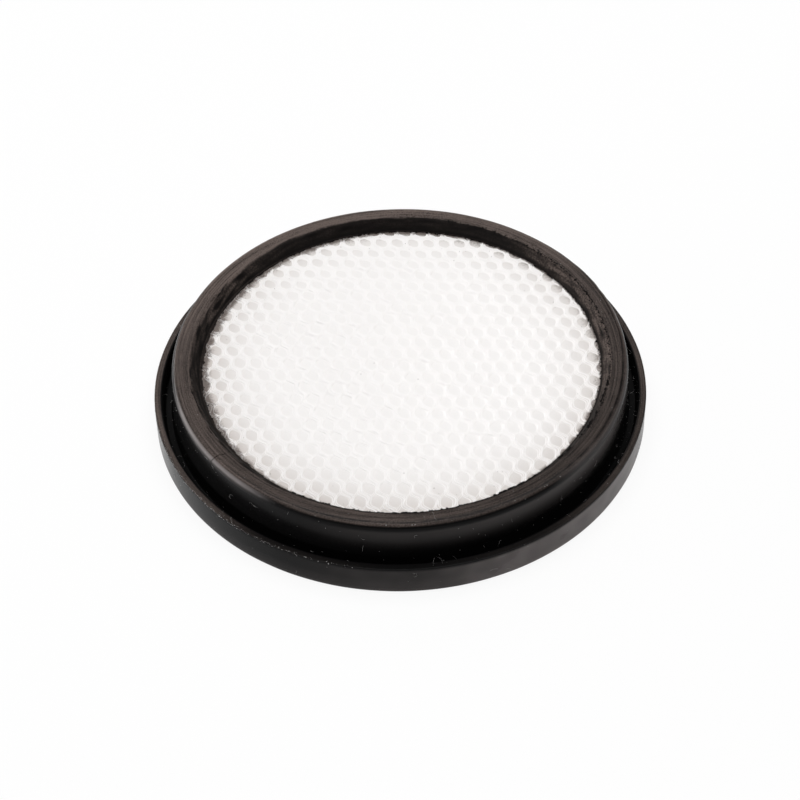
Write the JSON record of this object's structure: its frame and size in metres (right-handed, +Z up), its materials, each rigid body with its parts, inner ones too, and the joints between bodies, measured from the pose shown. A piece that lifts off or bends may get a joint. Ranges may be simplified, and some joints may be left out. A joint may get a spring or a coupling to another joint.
{
  "type": "vacuum filter",
  "caption": "Round flat filter for a vacuum cleaner: a soft black frame with a thin sealing lip holds a white knitted net over felt and a pleated filter sheet.",
  "frame": {"origin": "middle of the flat bottom face", "axes": "+Z up through the net, out of the dusty side; +X to the right and +Y away as the picture shows it; the pleats run along Y"},
  "size_m": [0.09, 0.09, 0.013],
  "materials": {
    "soft_rubber": "black cast soft rubber, satin, dusty",
    "white_net": "white knitted net of fine filaments",
    "white_felt": "white non-woven felt",
    "filter_sheet": "off-white fibrous filter sheet"
  },
  "bodies": {
    "root": {"seal_frame": "soft_rubber", "front_net": "white_net", "felt_layer": "white_felt", "pleated_media": "filter_sheet"}
  },
  "joints": []
}
